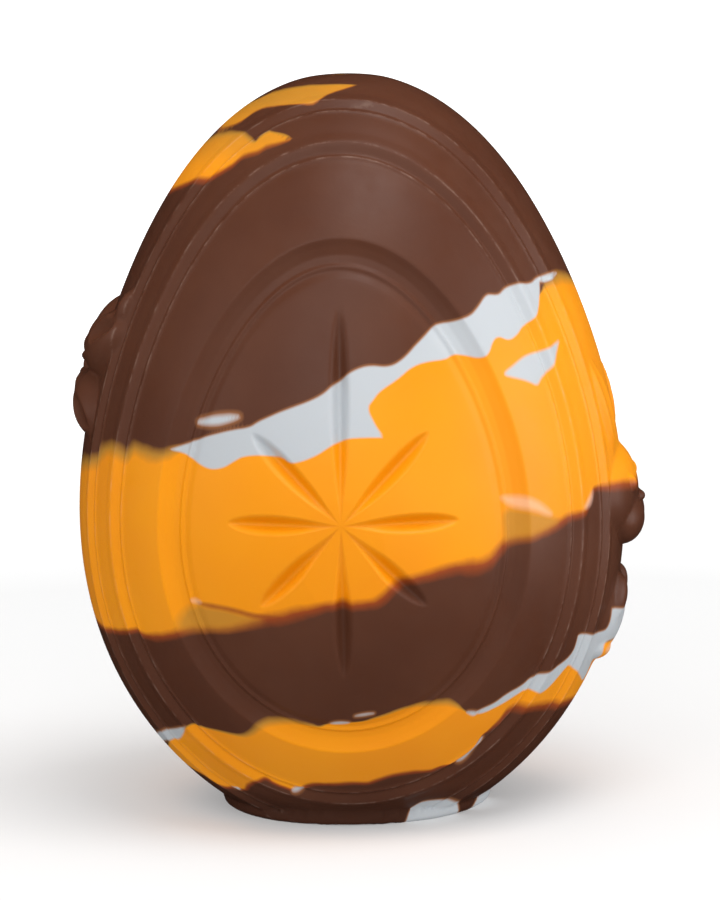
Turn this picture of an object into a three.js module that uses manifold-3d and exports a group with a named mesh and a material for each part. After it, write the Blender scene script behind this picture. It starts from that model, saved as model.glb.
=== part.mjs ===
// A moulded chocolate egg that stands upright on a small flat foot.
// Millimetres, +Z up. The origin is the middle of the foot's flat underside.
// The front panel faces -Y, the back has the same panel, a bow stands out on
// the -X side and a sitting rabbit on the +X side.
import * as THREE from 'three';
import { mergeVertices } from 'three/addons/utils/BufferGeometryUtils.js';
import Module from 'manifold-3d';

const wasm = await Module();
wasm.setup();

// Egg: its outline is one curve from the tip down to a lower tip that the foot cuts off
const HEIGHT = 150;
const WIDEST_RADIUS = 55;
const LOWER_TIP_DEPTH = 7;
const OUTLINE_TAPER = 0.161;
const OUTLINE_SQUARENESS = 0.0236;
const OUTLINE_POINT = 0.104;

// Foot: a low round plinth with a rounded lower edge
const FOOT_RADIUS = 27.4;
const FOOT_EDGE_RADIUS = 1.4;
const FOOT_RIM_HEIGHT = 2.6;
const FOOT_ROOT_RADIUS = 24;
const FOOT_ROOT_HEIGHT = 7;
const FOOT_SIDES = 48;
const FOOT_EDGE_STEPS = 3;

// Panel grid: rings around the middle of the star, from the star out to the egg's side
const STAR_HEIGHT = 66.5;
const GRID_ANGLES = 58;
const BISECTION_STEPS = 40;

// Ridges: each follows a nearly upright slice of the egg at this distance from its middle
const OUTER_RIDGE = { slice: 20.5, lean: 0.06 };
const MIDDLE_RIDGE = { slice: 30.4, lean: 0.065 };
const INNER_RIDGE = { slice: 42.8, lean: 0.025 };

// Surface levels, above or below the plain egg: the panel steps down towards its middle
const OUTER_CREST = 0.35;
const OUTER_STEP = -0.5;
const MIDDLE_CREST = 0;
const MIDDLE_STEP = -1.1;
const BEAD_RISE = 0.25;
const INNER_CREASE = -0.45;
const INNER_WALL_FOOT = -2.1;
const INNER_RIB = -1.8;
const INNER_GROOVE = -2.15;
const PANEL_EDGE = -1.75;
const PANEL_CROWN = -0.75;
const PANEL_EDGE_SLICE = 46;

// Star: eight engraved petals, by their direction from +X and their length
const PETALS = [
  { direction: 90, length: 40 },
  { direction: 270, length: 30 },
  { direction: 0, length: 22.5 },
  { direction: 180, length: 22.5 },
  { direction: 45, length: 24.5 },
  { direction: 135, length: 24.5 },
  { direction: 225, length: 22.5 },
  { direction: 315, length: 22.5 },
];
const PETAL_START = 1.5;
const PETAL_HALF_WIDTH = 1.9;
const PETAL_DEPTH = 1.3;
const PETAL_FULLNESS = 0.8;
const PETAL_LIFT = 0.8;
const PETAL_STEPS = 8;
const PETAL_SECTION_STEPS = 4;

// Reliefs on the sides: rounded lobes placed beside the middle of the bow or the
// rabbit, at a height. along is a lobe's long half, around its short half, rise how
// far it stands out from the egg and turn how far its long half leans from upright.
const LOBE_THICKNESS = 10;
const BOW_AZIMUTH = -90;
const BOW_MIDDLE = [{ height: 91, along: 3.8, around: 4.2, rise: 3.1, thickness: 4 }];
const BOW_PAIRS = [
  { aside: 9.5, height: 96.8, along: 11, around: 7, rise: 4.3, turn: -57, thickness: 7 },
  { aside: 8.3, height: 85, along: 9.4, around: 6.2, rise: 4.1, turn: 53, thickness: 7 },
  { aside: 15.8, height: 104.6, along: 5.2, around: 2.6, rise: 1.9, turn: -12, thickness: 4 },
];
const RABBIT_AZIMUTH = 90;
const RABBIT_MIDDLE = [
  { height: 64.2, along: 10.4, around: 18.5, rise: 3.1, thickness: 7 },
  { height: 37.8, along: 12.8, around: 17, rise: 2.7 },
];
const RABBIT_PAIRS = [
  { aside: 12, height: 83, along: 13.5, around: 5.4, rise: 1.9, turn: -8, thickness: 8 },
  { aside: 4.8, height: 58.9, along: 5.4, around: 8, rise: 4.6, thickness: 4.6 },
  { aside: 7, height: 42.5, along: 5.5, around: 3.2, rise: 2.7, turn: 24, thickness: 3 },
  { aside: 7.5, height: 32.8, along: 3.4, around: 6, rise: 2.3, thickness: 5 },
];
const LOBE_SIDES = 12;
const LOBE_RINGS = 6;

// Hollows pressed into the bow's loops and the rabbit's ears. floor is the level of
// a hollow's bottom above the egg.
const HOLLOW_THICKNESS = 3;
const BOW_HOLLOWS = [
  { aside: 13, height: 99.2, along: 4.6, around: 2.2, floor: 2.1, turn: -57 },
  { aside: 11.4, height: 82.7, along: 4.2, around: 2.1, floor: 2.1, turn: 53 },
];
const RABBIT_HOLLOWS = [{ aside: 12, height: 84, along: 8.5, around: 2.2, floor: 0.9, turn: -8 }];

const GROUND_BLOCK_DEPTH = 20;

const DEGREE = Math.PI / 180;

// Radius of the plain egg at a height
function eggRadius(height) {
  const across = (2 * (height + LOWER_TIP_DEPTH)) / (HEIGHT + LOWER_TIP_DEPTH) - 1;
  if (Math.abs(across) >= 1) {
    return 0;
  }
  const shape =
    1 - OUTLINE_TAPER * across - OUTLINE_SQUARENESS * across ** 2 + OUTLINE_POINT * across ** 3;
  return WIDEST_RADIUS * Math.sqrt(1 - across * across) * shape;
}

// Outward direction of the plain egg at one of its points
function eggNormal(point) {
  const step = 0.01;
  const squareSlope = (eggRadius(point.z + step) ** 2 - eggRadius(point.z - step) ** 2) / (4 * step);
  return new THREE.Vector3(point.x, point.y, -squareSlope).normalize();
}

// Point of the plain egg's front, seen from the star in a direction, at a given
// distance from the egg's upright middle plane
function frontPoint(angle, slice, lean) {
  let near = 0;
  let far = HEIGHT;
  for (let step = 0; step < BISECTION_STEPS; step += 1) {
    const reach = (near + far) / 2;
    const x = reach * Math.cos(angle);
    const rise = reach * Math.sin(angle);
    const wanted = Math.max(0, slice - lean * rise);
    const room = eggRadius(STAR_HEIGHT + rise) ** 2 - x * x - wanted * wanted;
    if (room > 0) {
      near = reach;
    } else {
      far = reach;
    }
  }
  const x = near * Math.cos(angle);
  const z = STAR_HEIGHT + near * Math.sin(angle);
  const y = -Math.sqrt(Math.max(0, eggRadius(z) ** 2 - x * x));
  return new THREE.Vector3(x, y, z);
}

// Rings that make one ridge: across is the distance along the surface, inwards
function ridgeRings(ridge, steps) {
  return steps.map(([across, level]) => ({ ...ridge, across, level }));
}

// Rings between two ridges, where only the plain egg's own curve shows
function plainRing(slice, lean, level) {
  return { slice, lean, across: 0, level };
}

// A stepped ridge: the surface turns up to a crest, drops and ends at a fine bead
function steppedRidge(ridge, before, crest, step) {
  return ridgeRings(ridge, [
    [-2.6, before],
    [-0.7, crest - 0.04],
    [0, crest],
    [0.5, crest - 0.18],
    [1.9, step],
    [2.4, step],
    [2.9, step + BEAD_RISE],
    [3.6, step],
  ]);
}

// Every ring of the front from the egg's side in to the star
function panelRings() {
  const innerRidge = ridgeRings(INNER_RIDGE, [
    [-3, INNER_CREASE + 0.02],
    [0, INNER_CREASE],
    [1.1, -1.15],
    [2.6, -1.85],
    [4, INNER_WALL_FOOT],
    [4.7, INNER_RIB],
    [5.5, INNER_GROOVE],
    [7, PANEL_EDGE],
  ]);
  return [
    plainRing(0, 0, 0),
    plainRing(9, 0.03, 0),
    ...steppedRidge(OUTER_RIDGE, 0.05, OUTER_CREST, OUTER_STEP),
    ...steppedRidge(MIDDLE_RIDGE, -0.35, MIDDLE_CREST, MIDDLE_STEP),
    plainRing(37, 0.045, -0.8),
    ...innerRidge,
    plainRing(49.5, 0.01, -1.4),
    plainRing(52.5, 0, -1.05),
    plainRing(54.2, 0, -0.85),
  ];
}

// Point of the finished front surface on a ring, in a direction from the star
function ringPoint(ring, angle) {
  const crest = frontPoint(angle, ring.slice, ring.lean);
  const facing = eggNormal(crest).y;
  const sliceStep = ring.across * Math.sqrt(1 - facing * facing);
  const point = frontPoint(angle, ring.slice + sliceStep, ring.lean);
  return point.addScaledVector(eggNormal(point), ring.level);
}

// A closed mesh as a solid that can be joined and cut
function solidFrom(geometry) {
  const plain = geometry.clone();
  plain.deleteAttribute('normal');
  plain.deleteAttribute('uv');
  const merged = mergeVertices(plain);
  const mesh = new wasm.Mesh({
    numProp: 3,
    vertProperties: new Float32Array(merged.attributes.position.array),
    triVerts: new Uint32Array(merged.index.array),
  });
  return new wasm.Manifold(mesh);
}

function geometryFrom(solid) {
  const mesh = solid.getMesh();
  const geometry = new THREE.BufferGeometry();
  geometry.setAttribute('position', new THREE.BufferAttribute(mesh.vertProperties, 3));
  geometry.setIndex(new THREE.BufferAttribute(mesh.triVerts, 1));
  return geometry;
}

function indexedGeometry(points, triangles) {
  const geometry = new THREE.BufferGeometry();
  geometry.setAttribute('position', new THREE.Float32BufferAttribute(points.flat(), 3));
  geometry.setIndex(triangles.flat());
  return geometry;
}

// The egg with its ridges: two mirrored panels that share the ring at the egg's side
function ridgedEgg() {
  const rings = panelRings();
  const points = [];
  const triangles = [];
  const crownY = -(eggRadius(STAR_HEIGHT) + PANEL_CROWN);
  for (const side of [1, -1]) {
    const rows = rings.map((ring, row) => {
      if (row === 0 && side === -1) {
        return Array.from({ length: GRID_ANGLES }, (_, column) => column);
      }
      const first = points.length;
      for (let column = 0; column < GRID_ANGLES; column += 1) {
        const point = ringPoint(ring, (2 * Math.PI * column) / GRID_ANGLES);
        points.push([point.x, point.y * side, point.z]);
      }
      return Array.from({ length: GRID_ANGLES }, (_, column) => first + column);
    });
    const crown = points.length;
    points.push([0, crownY * side, STAR_HEIGHT]);
    const add = (a, b, c) => triangles.push(side === 1 ? [a, b, c] : [a, c, b]);
    for (let column = 0; column < GRID_ANGLES; column += 1) {
      const next = (column + 1) % GRID_ANGLES;
      for (let row = 1; row < rows.length; row += 1) {
        const outer = rows[row - 1];
        const inner = rows[row];
        add(outer[column], outer[next], inner[next]);
        add(outer[column], inner[next], inner[column]);
      }
      const last = rows[rows.length - 1];
      add(last[column], last[next], crown);
    }
  }
  return solidFrom(indexedGeometry(points, triangles));
}

// Foot with a rounded lower edge, its upper part buried in the egg
function foot() {
  const profile = [new THREE.Vector2(0, 0)];
  for (let step = 0; step <= FOOT_EDGE_STEPS; step += 1) {
    const turn = ((Math.PI / 2) * step) / FOOT_EDGE_STEPS;
    const radius = FOOT_RADIUS - FOOT_EDGE_RADIUS * (1 - Math.sin(turn));
    profile.push(new THREE.Vector2(radius, FOOT_EDGE_RADIUS * (1 - Math.cos(turn))));
  }
  profile.push(new THREE.Vector2(FOOT_RADIUS, FOOT_RIM_HEIGHT));
  profile.push(new THREE.Vector2(FOOT_ROOT_RADIUS, FOOT_ROOT_HEIGHT));
  profile.push(new THREE.Vector2(0, FOOT_ROOT_HEIGHT));
  const turned = new THREE.LatheGeometry(profile, FOOT_SIDES);
  return solidFrom(turned.rotateX(Math.PI / 2));
}

// Block that takes away all of the egg below the foot's underside
function groundBlock() {
  const width = 2 * WIDEST_RADIUS;
  const block = new THREE.BoxGeometry(width, width, GROUND_BLOCK_DEPTH);
  return solidFrom(block.translate(0, 0, -GROUND_BLOCK_DEPTH / 2));
}

// Point of the domed inner panel at a distance from the star
function panelPoint(angle, reach) {
  const x = reach * Math.cos(angle);
  const z = STAR_HEIGHT + reach * Math.sin(angle);
  const y = -Math.sqrt(Math.max(0, eggRadius(z) ** 2 - x * x));
  const point = new THREE.Vector3(x, y, z);
  const towardsEdge = (WIDEST_RADIUS + y) / (WIDEST_RADIUS - PANEL_EDGE_SLICE);
  const level = PANEL_CROWN + (PANEL_EDGE - PANEL_CROWN) * towardsEdge;
  return point.addScaledVector(eggNormal(point), level);
}

// One cross-section of a petal cutter: a round-bottomed groove with open sides above it
function petalSection(swell) {
  const halfWidth = PETAL_HALF_WIDTH * swell;
  const depth = PETAL_DEPTH * swell;
  const groove = Array.from({ length: PETAL_SECTION_STEPS + 1 }, (_, step) => {
    const turn = (Math.PI * step) / PETAL_SECTION_STEPS;
    return [-halfWidth * Math.cos(turn), -depth * Math.sin(turn)];
  });
  return [[-halfWidth, PETAL_LIFT], ...groove, [halfWidth, PETAL_LIFT]];
}

// Lens-shaped cutter that follows the domed panel from the star to a petal's tip
function petalCutter(petal, side) {
  const angle = petal.direction * DEGREE;
  const span = petal.length - PETAL_START;
  const points = [];
  const triangles = [];
  for (let step = 1; step < PETAL_STEPS; step += 1) {
    const share = step / PETAL_STEPS;
    const middle = panelPoint(angle, PETAL_START + span * share);
    const ahead = panelPoint(angle, PETAL_START + span * (share + 1 / PETAL_STEPS));
    const out = eggNormal(middle);
    const sideways = new THREE.Vector3().subVectors(ahead, middle).cross(out).normalize();
    for (const [across, up] of petalSection(Math.sin(Math.PI * share) ** PETAL_FULLNESS)) {
      const point = middle.clone().addScaledVector(sideways, across).addScaledVector(out, up);
      points.push([point.x, point.y * side, point.z]);
    }
  }
  for (const reach of [PETAL_START, petal.length]) {
    const end = panelPoint(angle, reach);
    points.push([end.x, end.y * side, end.z]);
  }
  const rows = PETAL_STEPS - 1;
  const size = PETAL_SECTION_STEPS + 3;
  const startPoint = rows * size;
  const endPoint = startPoint + 1;
  const add = (a, b, c) => triangles.push(side === 1 ? [a, c, b] : [a, b, c]);
  for (let corner = 0; corner < size; corner += 1) {
    const next = (corner + 1) % size;
    for (let row = 1; row < rows; row += 1) {
      const low = (row - 1) * size;
      const high = row * size;
      add(low + corner, low + next, high + next);
      add(low + corner, high + next, high + corner);
    }
    add(startPoint, next, corner);
    add(endPoint, (rows - 1) * size + corner, (rows - 1) * size + next);
  }
  return solidFrom(indexedGeometry(points, triangles));
}

// Ellipsoid set into the egg's side so that it stands out by its rise
function lobe(middleAzimuth, { aside, height, along, around, rise, turn, thickness }) {
  const radius = eggRadius(height);
  const heading = middleAzimuth * DEGREE + aside / radius;
  const place = new THREE.Vector3(radius * Math.sin(heading), -radius * Math.cos(heading), height);
  const out = eggNormal(place);
  const round = new THREE.Vector3(Math.cos(heading), Math.sin(heading), 0);
  const up = new THREE.Vector3().crossVectors(out, round);
  const frame = new THREE.Matrix4().makeBasis(round, up, out);
  const ball = new THREE.SphereGeometry(1, LOBE_SIDES, LOBE_RINGS);
  ball.rotateX(Math.PI / 2);
  ball.scale(around, along, thickness);
  ball.rotateZ(turn * DEGREE);
  ball.applyMatrix4(frame);
  place.addScaledVector(out, rise - thickness);
  ball.translate(place.x, place.y, place.z);
  return solidFrom(ball);
}

// Lobes round the middle of a relief: single ones, and pairs that mirror each other
function lobes(middleAzimuth, middle, pairs) {
  const complete = (shape) => ({ aside: 0, turn: 0, thickness: LOBE_THICKNESS, ...shape });
  const halves = pairs.map(complete);
  const mirrored = halves.map((shape) => ({ ...shape, aside: -shape.aside, turn: -shape.turn }));
  return [...middle.map(complete), ...halves, ...mirrored].map((shape) => lobe(middleAzimuth, shape));
}

// Cutters for hollows: lobes that hang over the relief and reach down to the floor
function hollows(middleAzimuth, shapes) {
  const thickness = HOLLOW_THICKNESS;
  const cutters = shapes.map((shape) => ({ ...shape, thickness, rise: shape.floor + 2 * thickness }));
  return lobes(middleAzimuth, [], cutters);
}

function eggSolid() {
  let solid = ridgedEgg().subtract(groundBlock()).add(foot());
  const bow = lobes(BOW_AZIMUTH, BOW_MIDDLE, BOW_PAIRS);
  const rabbit = lobes(RABBIT_AZIMUTH, RABBIT_MIDDLE, RABBIT_PAIRS);
  for (const piece of [...bow, ...rabbit]) {
    solid = solid.add(piece);
  }
  const cutters = [...hollows(BOW_AZIMUTH, BOW_HOLLOWS), ...hollows(RABBIT_AZIMUTH, RABBIT_HOLLOWS)];
  for (const side of [1, -1]) {
    cutters.push(...PETALS.map((petal) => petalCutter(petal, side)));
  }
  for (const cutter of cutters) {
    solid = solid.subtract(cutter);
  }
  return solid;
}

const chocolate = new THREE.MeshStandardMaterial({ color: '#623c2a', roughness: 0.38, metalness: 0 });
const egg = new THREE.Mesh(geometryFrom(eggSolid()), chocolate);
egg.name = 'egg';

const group = new THREE.Group();
group.add(egg);

export default group;
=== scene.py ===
# A moulded chocolate egg with marbled brown, white and orange layers, standing on its foot.
import math

import bpy
import numpy as np
from mathutils import Matrix, Vector


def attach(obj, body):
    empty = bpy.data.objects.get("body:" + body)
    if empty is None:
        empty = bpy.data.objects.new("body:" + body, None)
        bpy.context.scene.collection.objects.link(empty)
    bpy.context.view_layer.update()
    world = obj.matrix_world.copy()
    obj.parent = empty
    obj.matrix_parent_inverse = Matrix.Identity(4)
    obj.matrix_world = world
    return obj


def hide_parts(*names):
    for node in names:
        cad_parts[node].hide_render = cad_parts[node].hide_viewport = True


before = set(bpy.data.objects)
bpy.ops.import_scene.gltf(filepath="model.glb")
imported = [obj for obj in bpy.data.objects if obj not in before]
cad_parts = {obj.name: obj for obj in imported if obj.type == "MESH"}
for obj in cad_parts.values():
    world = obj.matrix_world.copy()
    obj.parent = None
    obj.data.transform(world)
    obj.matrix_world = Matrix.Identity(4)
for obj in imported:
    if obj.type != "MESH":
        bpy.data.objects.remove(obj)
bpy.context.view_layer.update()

MM = 0.001

# Shrinks the egg by a hair, because smooth curves would bulge past the CAD model's facets
FIT_IN_CAD = 0.9999

# Egg outline in millimetres: one curve from the tip to a lower tip that the foot cuts off
HEIGHT = 150.0
WIDEST_RADIUS = 55.0
LOWER_TIP_DEPTH = 7.0
OUTLINE_TAPER = 0.161
OUTLINE_SQUARENESS = 0.0236
OUTLINE_POINT = 0.104
STAR_HEIGHT = 66.5

# The very tip is lowered by this much, fading out over this height, to stay in the CAD model's box
TIP_TRIM = 0.32
TIP_TRIM_REACH = 0.8

# Foot
FOOT_RADIUS = 27.4
FOOT_EDGE_RADIUS = 1.4
FOOT_RIM_HEIGHT = 2.6
FOOT_FILLET = 1.6
FOOT_ZONE = 12
FOOT_SEARCH = np.linspace(-3, 6, 91)
LEAST_FALL = 0.2

# Levels that stand for "far below" and "far above" the plain egg
FAR_BELOW = -20.0
FAR_ABOVE = 1e3

# Ridges: each follows a slice of the egg, given as its distance from the middle and its lean
OUTER_RIDGE = (18.4, 0.036)
MIDDLE_RIDGE = (28.8, 0.046)
INNER_RIDGE = (41.1, 0.043)

# Section of the panel from the egg's side in to the star. Each row holds the distance
# inwards from its ridge, the level above or below the plain egg, and how many mesh rings
# lead on to the next row. The two stepped ridges share their rows and differ in levels.
STEPPED_SECTION = [
    (-2.6, "before", 8),
    (-0.7, "crest_shoulder", 4),
    (0.0, "crest", 4),
    (0.5, "crest_drop", 7),
    (1.9, "step", 2),
    (2.4, "step", 3),
    (2.9, "bead", 4),
    (3.6, "step", 6),
]
OUTER_LEVELS = {
    "before": 0.05, "crest_shoulder": 0.31, "crest": 0.35, "crest_drop": 0.17, "step": -0.5, "bead": -0.25,
}
MIDDLE_LEVELS = {
    "before": -0.35, "crest_shoulder": -0.04, "crest": 0.0, "crest_drop": -0.18, "step": -1.1, "bead": -0.85,
}
INNER_SECTION = [
    (-3.0, -0.43, 10),
    (0.0, -0.3, 6),
    (1.1, -1.15, 6),
    (2.6, -2.05, 6),
    (4.0, -2.35, 4),
    (4.7, -1.95, 4),
    (5.5, -2.35, 5),
    (7.0, -1.85, 14),
]

# Plain stretches beside the ridges: a slice, the level on it and the mesh rings that follow
SIDE_STRETCH = [((0.0, 0.0), 0.0, 21), ((9.0, 0.03), 0.0, 21)]
HOLLOW_STRETCH = [((35.4, 0.045), -0.8, 8)]
PANEL_MIDDLE = [((49.5, 0.01), -1.4, 16), ((52.5, 0.0), -1.05, 16), ((54.2, 0.0), -0.85, 14)]
PANEL_CROWN = -0.75
LAST_SLICE = (WIDEST_RADIUS - 0.002, 0.0)
EDGE_ROUNDING = 0.16
ROUNDING_OFFSETS = np.linspace(-2.5, 2.5, 21)
BISECTION_STEPS = 40

# Mesh columns: their number, and where they stand closer, as (direction, half width, extra)
COLUMNS = 720
CLOSER_COLUMNS = [(0, 38, 0.9), (180, 38, 0.9), (-68, 14, 1.2), (-112, 14, 1.2), (-90, 14, 0.5)]

# Star: eight engraved petals, by their direction from +X and their length
PETALS = [(90, 42), (270, 31.5), (0, 23.5), (180, 23), (45, 25), (135, 25), (225, 23.5), (315, 23.5)]
PETAL_START = 2.6
PETAL_HALF_WIDTH = 2.3
PETAL_DEPTH = 1.9
PETAL_LEAN = 1.3
PETAL_FULLNESS = 0.45
PETAL_DEEPENING = 0.7

# Reliefs: rounded lobes placed beside the middle of the bow or the rabbit, at a height.
# along is a lobe's long half, around its short half, rise how far it stands out from the
# egg and turn how far its long half leans from upright.
LOBE_THICKNESS = 10.0
LOBE_BLEND = 0.5
RELIEF_ROOT_BLEND = 0.7
RELIEF_ZONE = 25
BOW_AZIMUTH = -90
BOW_MIDDLE = [{"height": 91, "along": 3.8, "around": 4.2, "rise": 3.1, "thickness": 4}]
BOW_PAIRS = [
    {"aside": 9.5, "height": 96.8, "along": 11, "around": 7, "rise": 4.06, "turn": -57, "thickness": 7},
    {"aside": 8.3, "height": 85, "along": 9.4, "around": 6.2, "rise": 3.88, "turn": 53, "thickness": 7},
    {"aside": 5.6, "height": 95.8, "along": 5, "around": 1.0, "rise": 4.2, "turn": -42, "thickness": 3},
    {"aside": 6.4, "height": 93.2, "along": 5, "around": 1.0, "rise": 4.0, "turn": -68, "thickness": 3},
    {"aside": 5.6, "height": 87.4, "along": 4.6, "around": 1.0, "rise": 3.9, "turn": 52, "thickness": 3},
    {"aside": 15.8, "height": 104.6, "along": 5.2, "around": 2.6, "rise": 1.9, "turn": -12, "thickness": 4},
]
BOW_HOLLOWS = [
    {"aside": 13, "height": 99.2, "along": 4.6, "around": 2.2, "depth": 1.6, "turn": -57},
    {"aside": 11.4, "height": 82.7, "along": 4.2, "around": 2.1, "depth": 1.6, "turn": 53},
]
RABBIT_AZIMUTH = 90
RABBIT_MIDDLE = [
    {"height": 64.2, "along": 10.4, "around": 18.5, "rise": 3.1, "thickness": 7},
    {"height": 62.4, "along": 1.7, "around": 2.6, "rise": 4.38, "thickness": 3},
    {"height": 37.8, "along": 12.8, "around": 17, "rise": 2.7},
]
RABBIT_PAIRS = [
    {"aside": 12, "height": 83, "along": 13.5, "around": 5.4, "rise": 1.9, "turn": -8, "thickness": 8},
    {"aside": 4.8, "height": 58.9, "along": 5.4, "around": 8, "rise": 4.36, "thickness": 4.6},
    {"aside": 9, "height": 66.4, "along": 2.3, "around": 1.9, "rise": 3.7, "thickness": 2.5},
    {"aside": 7, "height": 42.5, "along": 5.5, "around": 3.2, "rise": 2.7, "turn": 24, "thickness": 3},
    {"aside": 7.5, "height": 32.8, "along": 3.4, "around": 6, "rise": 2.3, "thickness": 5},
]
RABBIT_HOLLOWS = [{"aside": 12, "height": 84, "along": 8.5, "around": 2.2, "depth": 1.0, "turn": -8}]

# Marbling: edges of the poured layers that run round the egg, as (azimuth, height, softness)
# in degrees and millimetres. Softness is half the width over which an edge fades.
SHARP = 0.25
UNROLL_RADIUS = 50.0
ORANGE_TOP = [
    (-150, 84, 0.5), (-130, 80, 0.8), (-110, 75, 1.5), (-95, 72, 2.0), (-86.5, 71.3, 2.2), (-78, 72.6, 2.2),
    (-68.4, 74.4, 2.0), (-65.7, 76.8, 2.0), (-58.6, 78, 2.0), (-55.7, 77.1, 2.0), (-52, 79.2, 1.8),
    (-45, 78.3, 1.8), (-41.3, 78.9, 1.6), (-38, 80.3, 1.0), (-32, 80.6, 0.6), (-25, 81.6, SHARP),
    (-18, 83, SHARP), (-8, 84.5, SHARP), (0, 87, SHARP), (3.5, 90, SHARP), (7, 94, SHARP),
    (10, 95.3, SHARP), (14, 96.6, SHARP), (18, 99, SHARP),
    (24, 101, SHARP), (36, 102.5, SHARP), (50, 105.5, SHARP), (61, 107.6, SHARP), (66, 109, 1.0),
    (74, 109.3, 1.8), (90, 107, 1.6), (110, 103.5, 1.0), (130, 98, 0.6), (150, 97, 0.6), (170, 91, 0.6),
    (190, 88, 0.6),
]
ORANGE_BOTTOM = [
    (-150, 46, 2.6), (-130, 42, 2.6), (-110, 40, 2.6), (-95, 38.8, 2.2), (-83, 39.4, 1.4),
    (-65.7, 39.7, 1.0), (-59, 40.5, 1.0), (-54, 41.3, 0.8), (-51, 40.5, 1.0), (-45, 41.2, 1.4),
    (-37, 43.3, 1.4), (-31, 43.8, 1.3), (-26, 44.6, 1.4), (-22.4, 45.4, 1.6), (-18.7, 46.4, 1.8),
    (-15.4, 47.3, 1.9), (-11, 48.3, 2.1), (-6.7, 49.3, 1.8), (-2.6, 50.2, 1.6), (1.5, 50.3, 1.6),
    (6, 50.6, 1.6), (8.7, 52, 1.6), (11.2, 53.9, 1.6), (14, 55, 1.6), (18, 55.7, 1.6), (24.3, 56.6, 1.9),
    (29, 56.8, 2.4), (32.3, 57.3, 2.4), (34.8, 58.8, 1.9), (37.4, 60.5, 1.6), (40, 61, 1.4),
    (44.9, 61.8, 1.4), (49, 62.6, 1.6), (56, 63.6, 1.4), (60, 63.9, 1.1), (62.5, 65.5, 0.8),
    (65, 67.9, 0.8), (72, 67.3, 1.4), (80, 66.4, 1.4), (90, 65.5, 1.6), (110, 60, 2.2), (130, 57, 2.6),
    (150, 60, 2.6), (170, 55, 2.6), (190, 50, 2.6),
]
LOWER_ORANGE_TOP = [
    (-150, 26, 0.4), (-130, 22, 0.4), (-110, 17.5, 0.3), (-92, 13.5, 0.3), (-76, 13.6, 0.3),
    (-59, 17.5, 0.3), (-50, 20.4, 0.3), (-45, 21.9, 0.3), (-40, 21.4, 0.4), (-35, 21.3, 0.5),
    (-30.3, 21.1, 0.6), (-28, 21.3, 0.8), (-25.3, 22.3, 1.0), (-22.5, 23.8, 1.2), (-19.9, 24.2, 1.2),
    (-16.2, 24.2, 1.2), (-12.7, 23.9, 0.9), (-9, 23.4, 0.5), (-7.2, 23.1, SHARP), (-3.3, 24, SHARP),
    (3.3, 24.3, SHARP), (6.9, 25.1, 0.4), (10.4, 26, 0.5), (14, 27, 0.6), (17.6, 27.4, 0.8),
    (21.2, 27.5, 1.0), (25.4, 27.9, 1.0), (27.4, 27.5, 0.6), (29.2, 26.5, SHARP), (31, 25.6, SHARP),
    (35, 25.3, SHARP), (40, 26.7, SHARP), (45.8, 28.7, SHARP), (52, 29.3, SHARP), (58, 31.3, SHARP),
    (62, 33, SHARP), (68, 32.5, SHARP), (74, 32, SHARP), (77, 34.5, SHARP), (86, 34.4, SHARP),
    (95, 34.8, SHARP), (110, 32, SHARP), (130, 29, 0.4), (150, 31, 0.6), (170, 27, 0.6), (190, 24, 0.6),
]
LOWER_ORANGE_BOTTOM = [
    (-150, 8, 0.8), (-130, 10.5, 0.8), (-110, 10, 0.8), (-90, 9.5, 0.8), (-74, 9.8, 0.7),
    (-58.6, 8.8, 0.7), (-49.4, 7, 0.6), (-42.5, 6.8, 0.6), (-36.3, 8.8, 0.8), (-31, 10.3, 0.7),
    (-28.7, 10.6, 0.6), (-25.8, 9.6, 0.4), (-22.8, 8.8, 0.4), (-18.5, 8.1, 0.4), (-15.4, 9, 0.8),
    (-10.8, 9.7, 1.1), (-5, 9.9, 1.1), (0, 10.1, 1.1), (5.2, 10, 1.1), (9, 10.9, 1.1), (13.7, 11.9, 1.0),
    (19.9, 12.2, 1.0), (25, 12, 0.8), (28.8, 12.8, 0.6), (32.7, 13.4, SHARP), (35.4, 14.6, SHARP),
    (37.3, 16.5, SHARP), (38.6, 19.3, SHARP), (40.1, 20.3, 0.6), (42.2, 21.9, 1.1), (44, 24, 1.4),
    (46, 24.6, 1.7), (51.8, 24.4, 1.7), (60, 23.4, 1.7), (69.5, 22.8, 1.5), (83, 21.5, 1.4),
    (100, 20.5, 1.1), (115, 17.5, 1.1), (130, 14, 1.1), (150, 12, 1.1), (170, 14, 1.1), (190, 10, 0.8),
]
UPPER_SWOOSH_TOP = [
    (-130, 140, 1.4), (-100, 143, 1.4), (-84, 144.6, 1.4), (-75, 146.3, 1.4), (-56, 147.6, 1.3),
    (-35, 148.3, 1.1), (-5, 148.6, 0.7), (14, 148.5, 0.5), (30, 147, 0.5), (60, 140, 0.9), (180, 120, 1.4),
]
UPPER_SWOOSH_BOTTOM = [
    (-130, 141, 1.1), (-100, 139.6, 1.1), (-84, 139.3, 1.0), (-69, 140.6, 0.8), (-64, 141.6, 0.7),
    (-61, 143.4, 0.6), (-55, 144.4, 0.6), (-39, 145.1, 0.4), (-28, 145.2, 0.4), (-21, 145.3, 0.4),
    (-16, 145.9, 0.4), (-12, 147, 0.4), (1.5, 147.9, 0.4), (14, 148.4, 0.4), (30, 149, 0.4), (60, 150, 0.4),
    (180, 150, 1.1),
]
LOWER_SWOOSH_TOP = [
    (-140, 126, 1.2), (-120, 132, 1.2), (-91, 136, 1.2), (-78, 138, 1.3), (-63, 139.3, 1.2),
    (-54, 139.5, 0.9), (-46, 139, 0.9), (-42.5, 138.7, 0.5), (-40.5, 139.9, 0.4), (-37.7, 140.7, 0.4),
    (-29.4, 140.4, 0.5), (-23, 139.6, 0.4), (-10, 136, 0.4), (60, 110, 0.5), (180, 110, 1.0),
]
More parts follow.
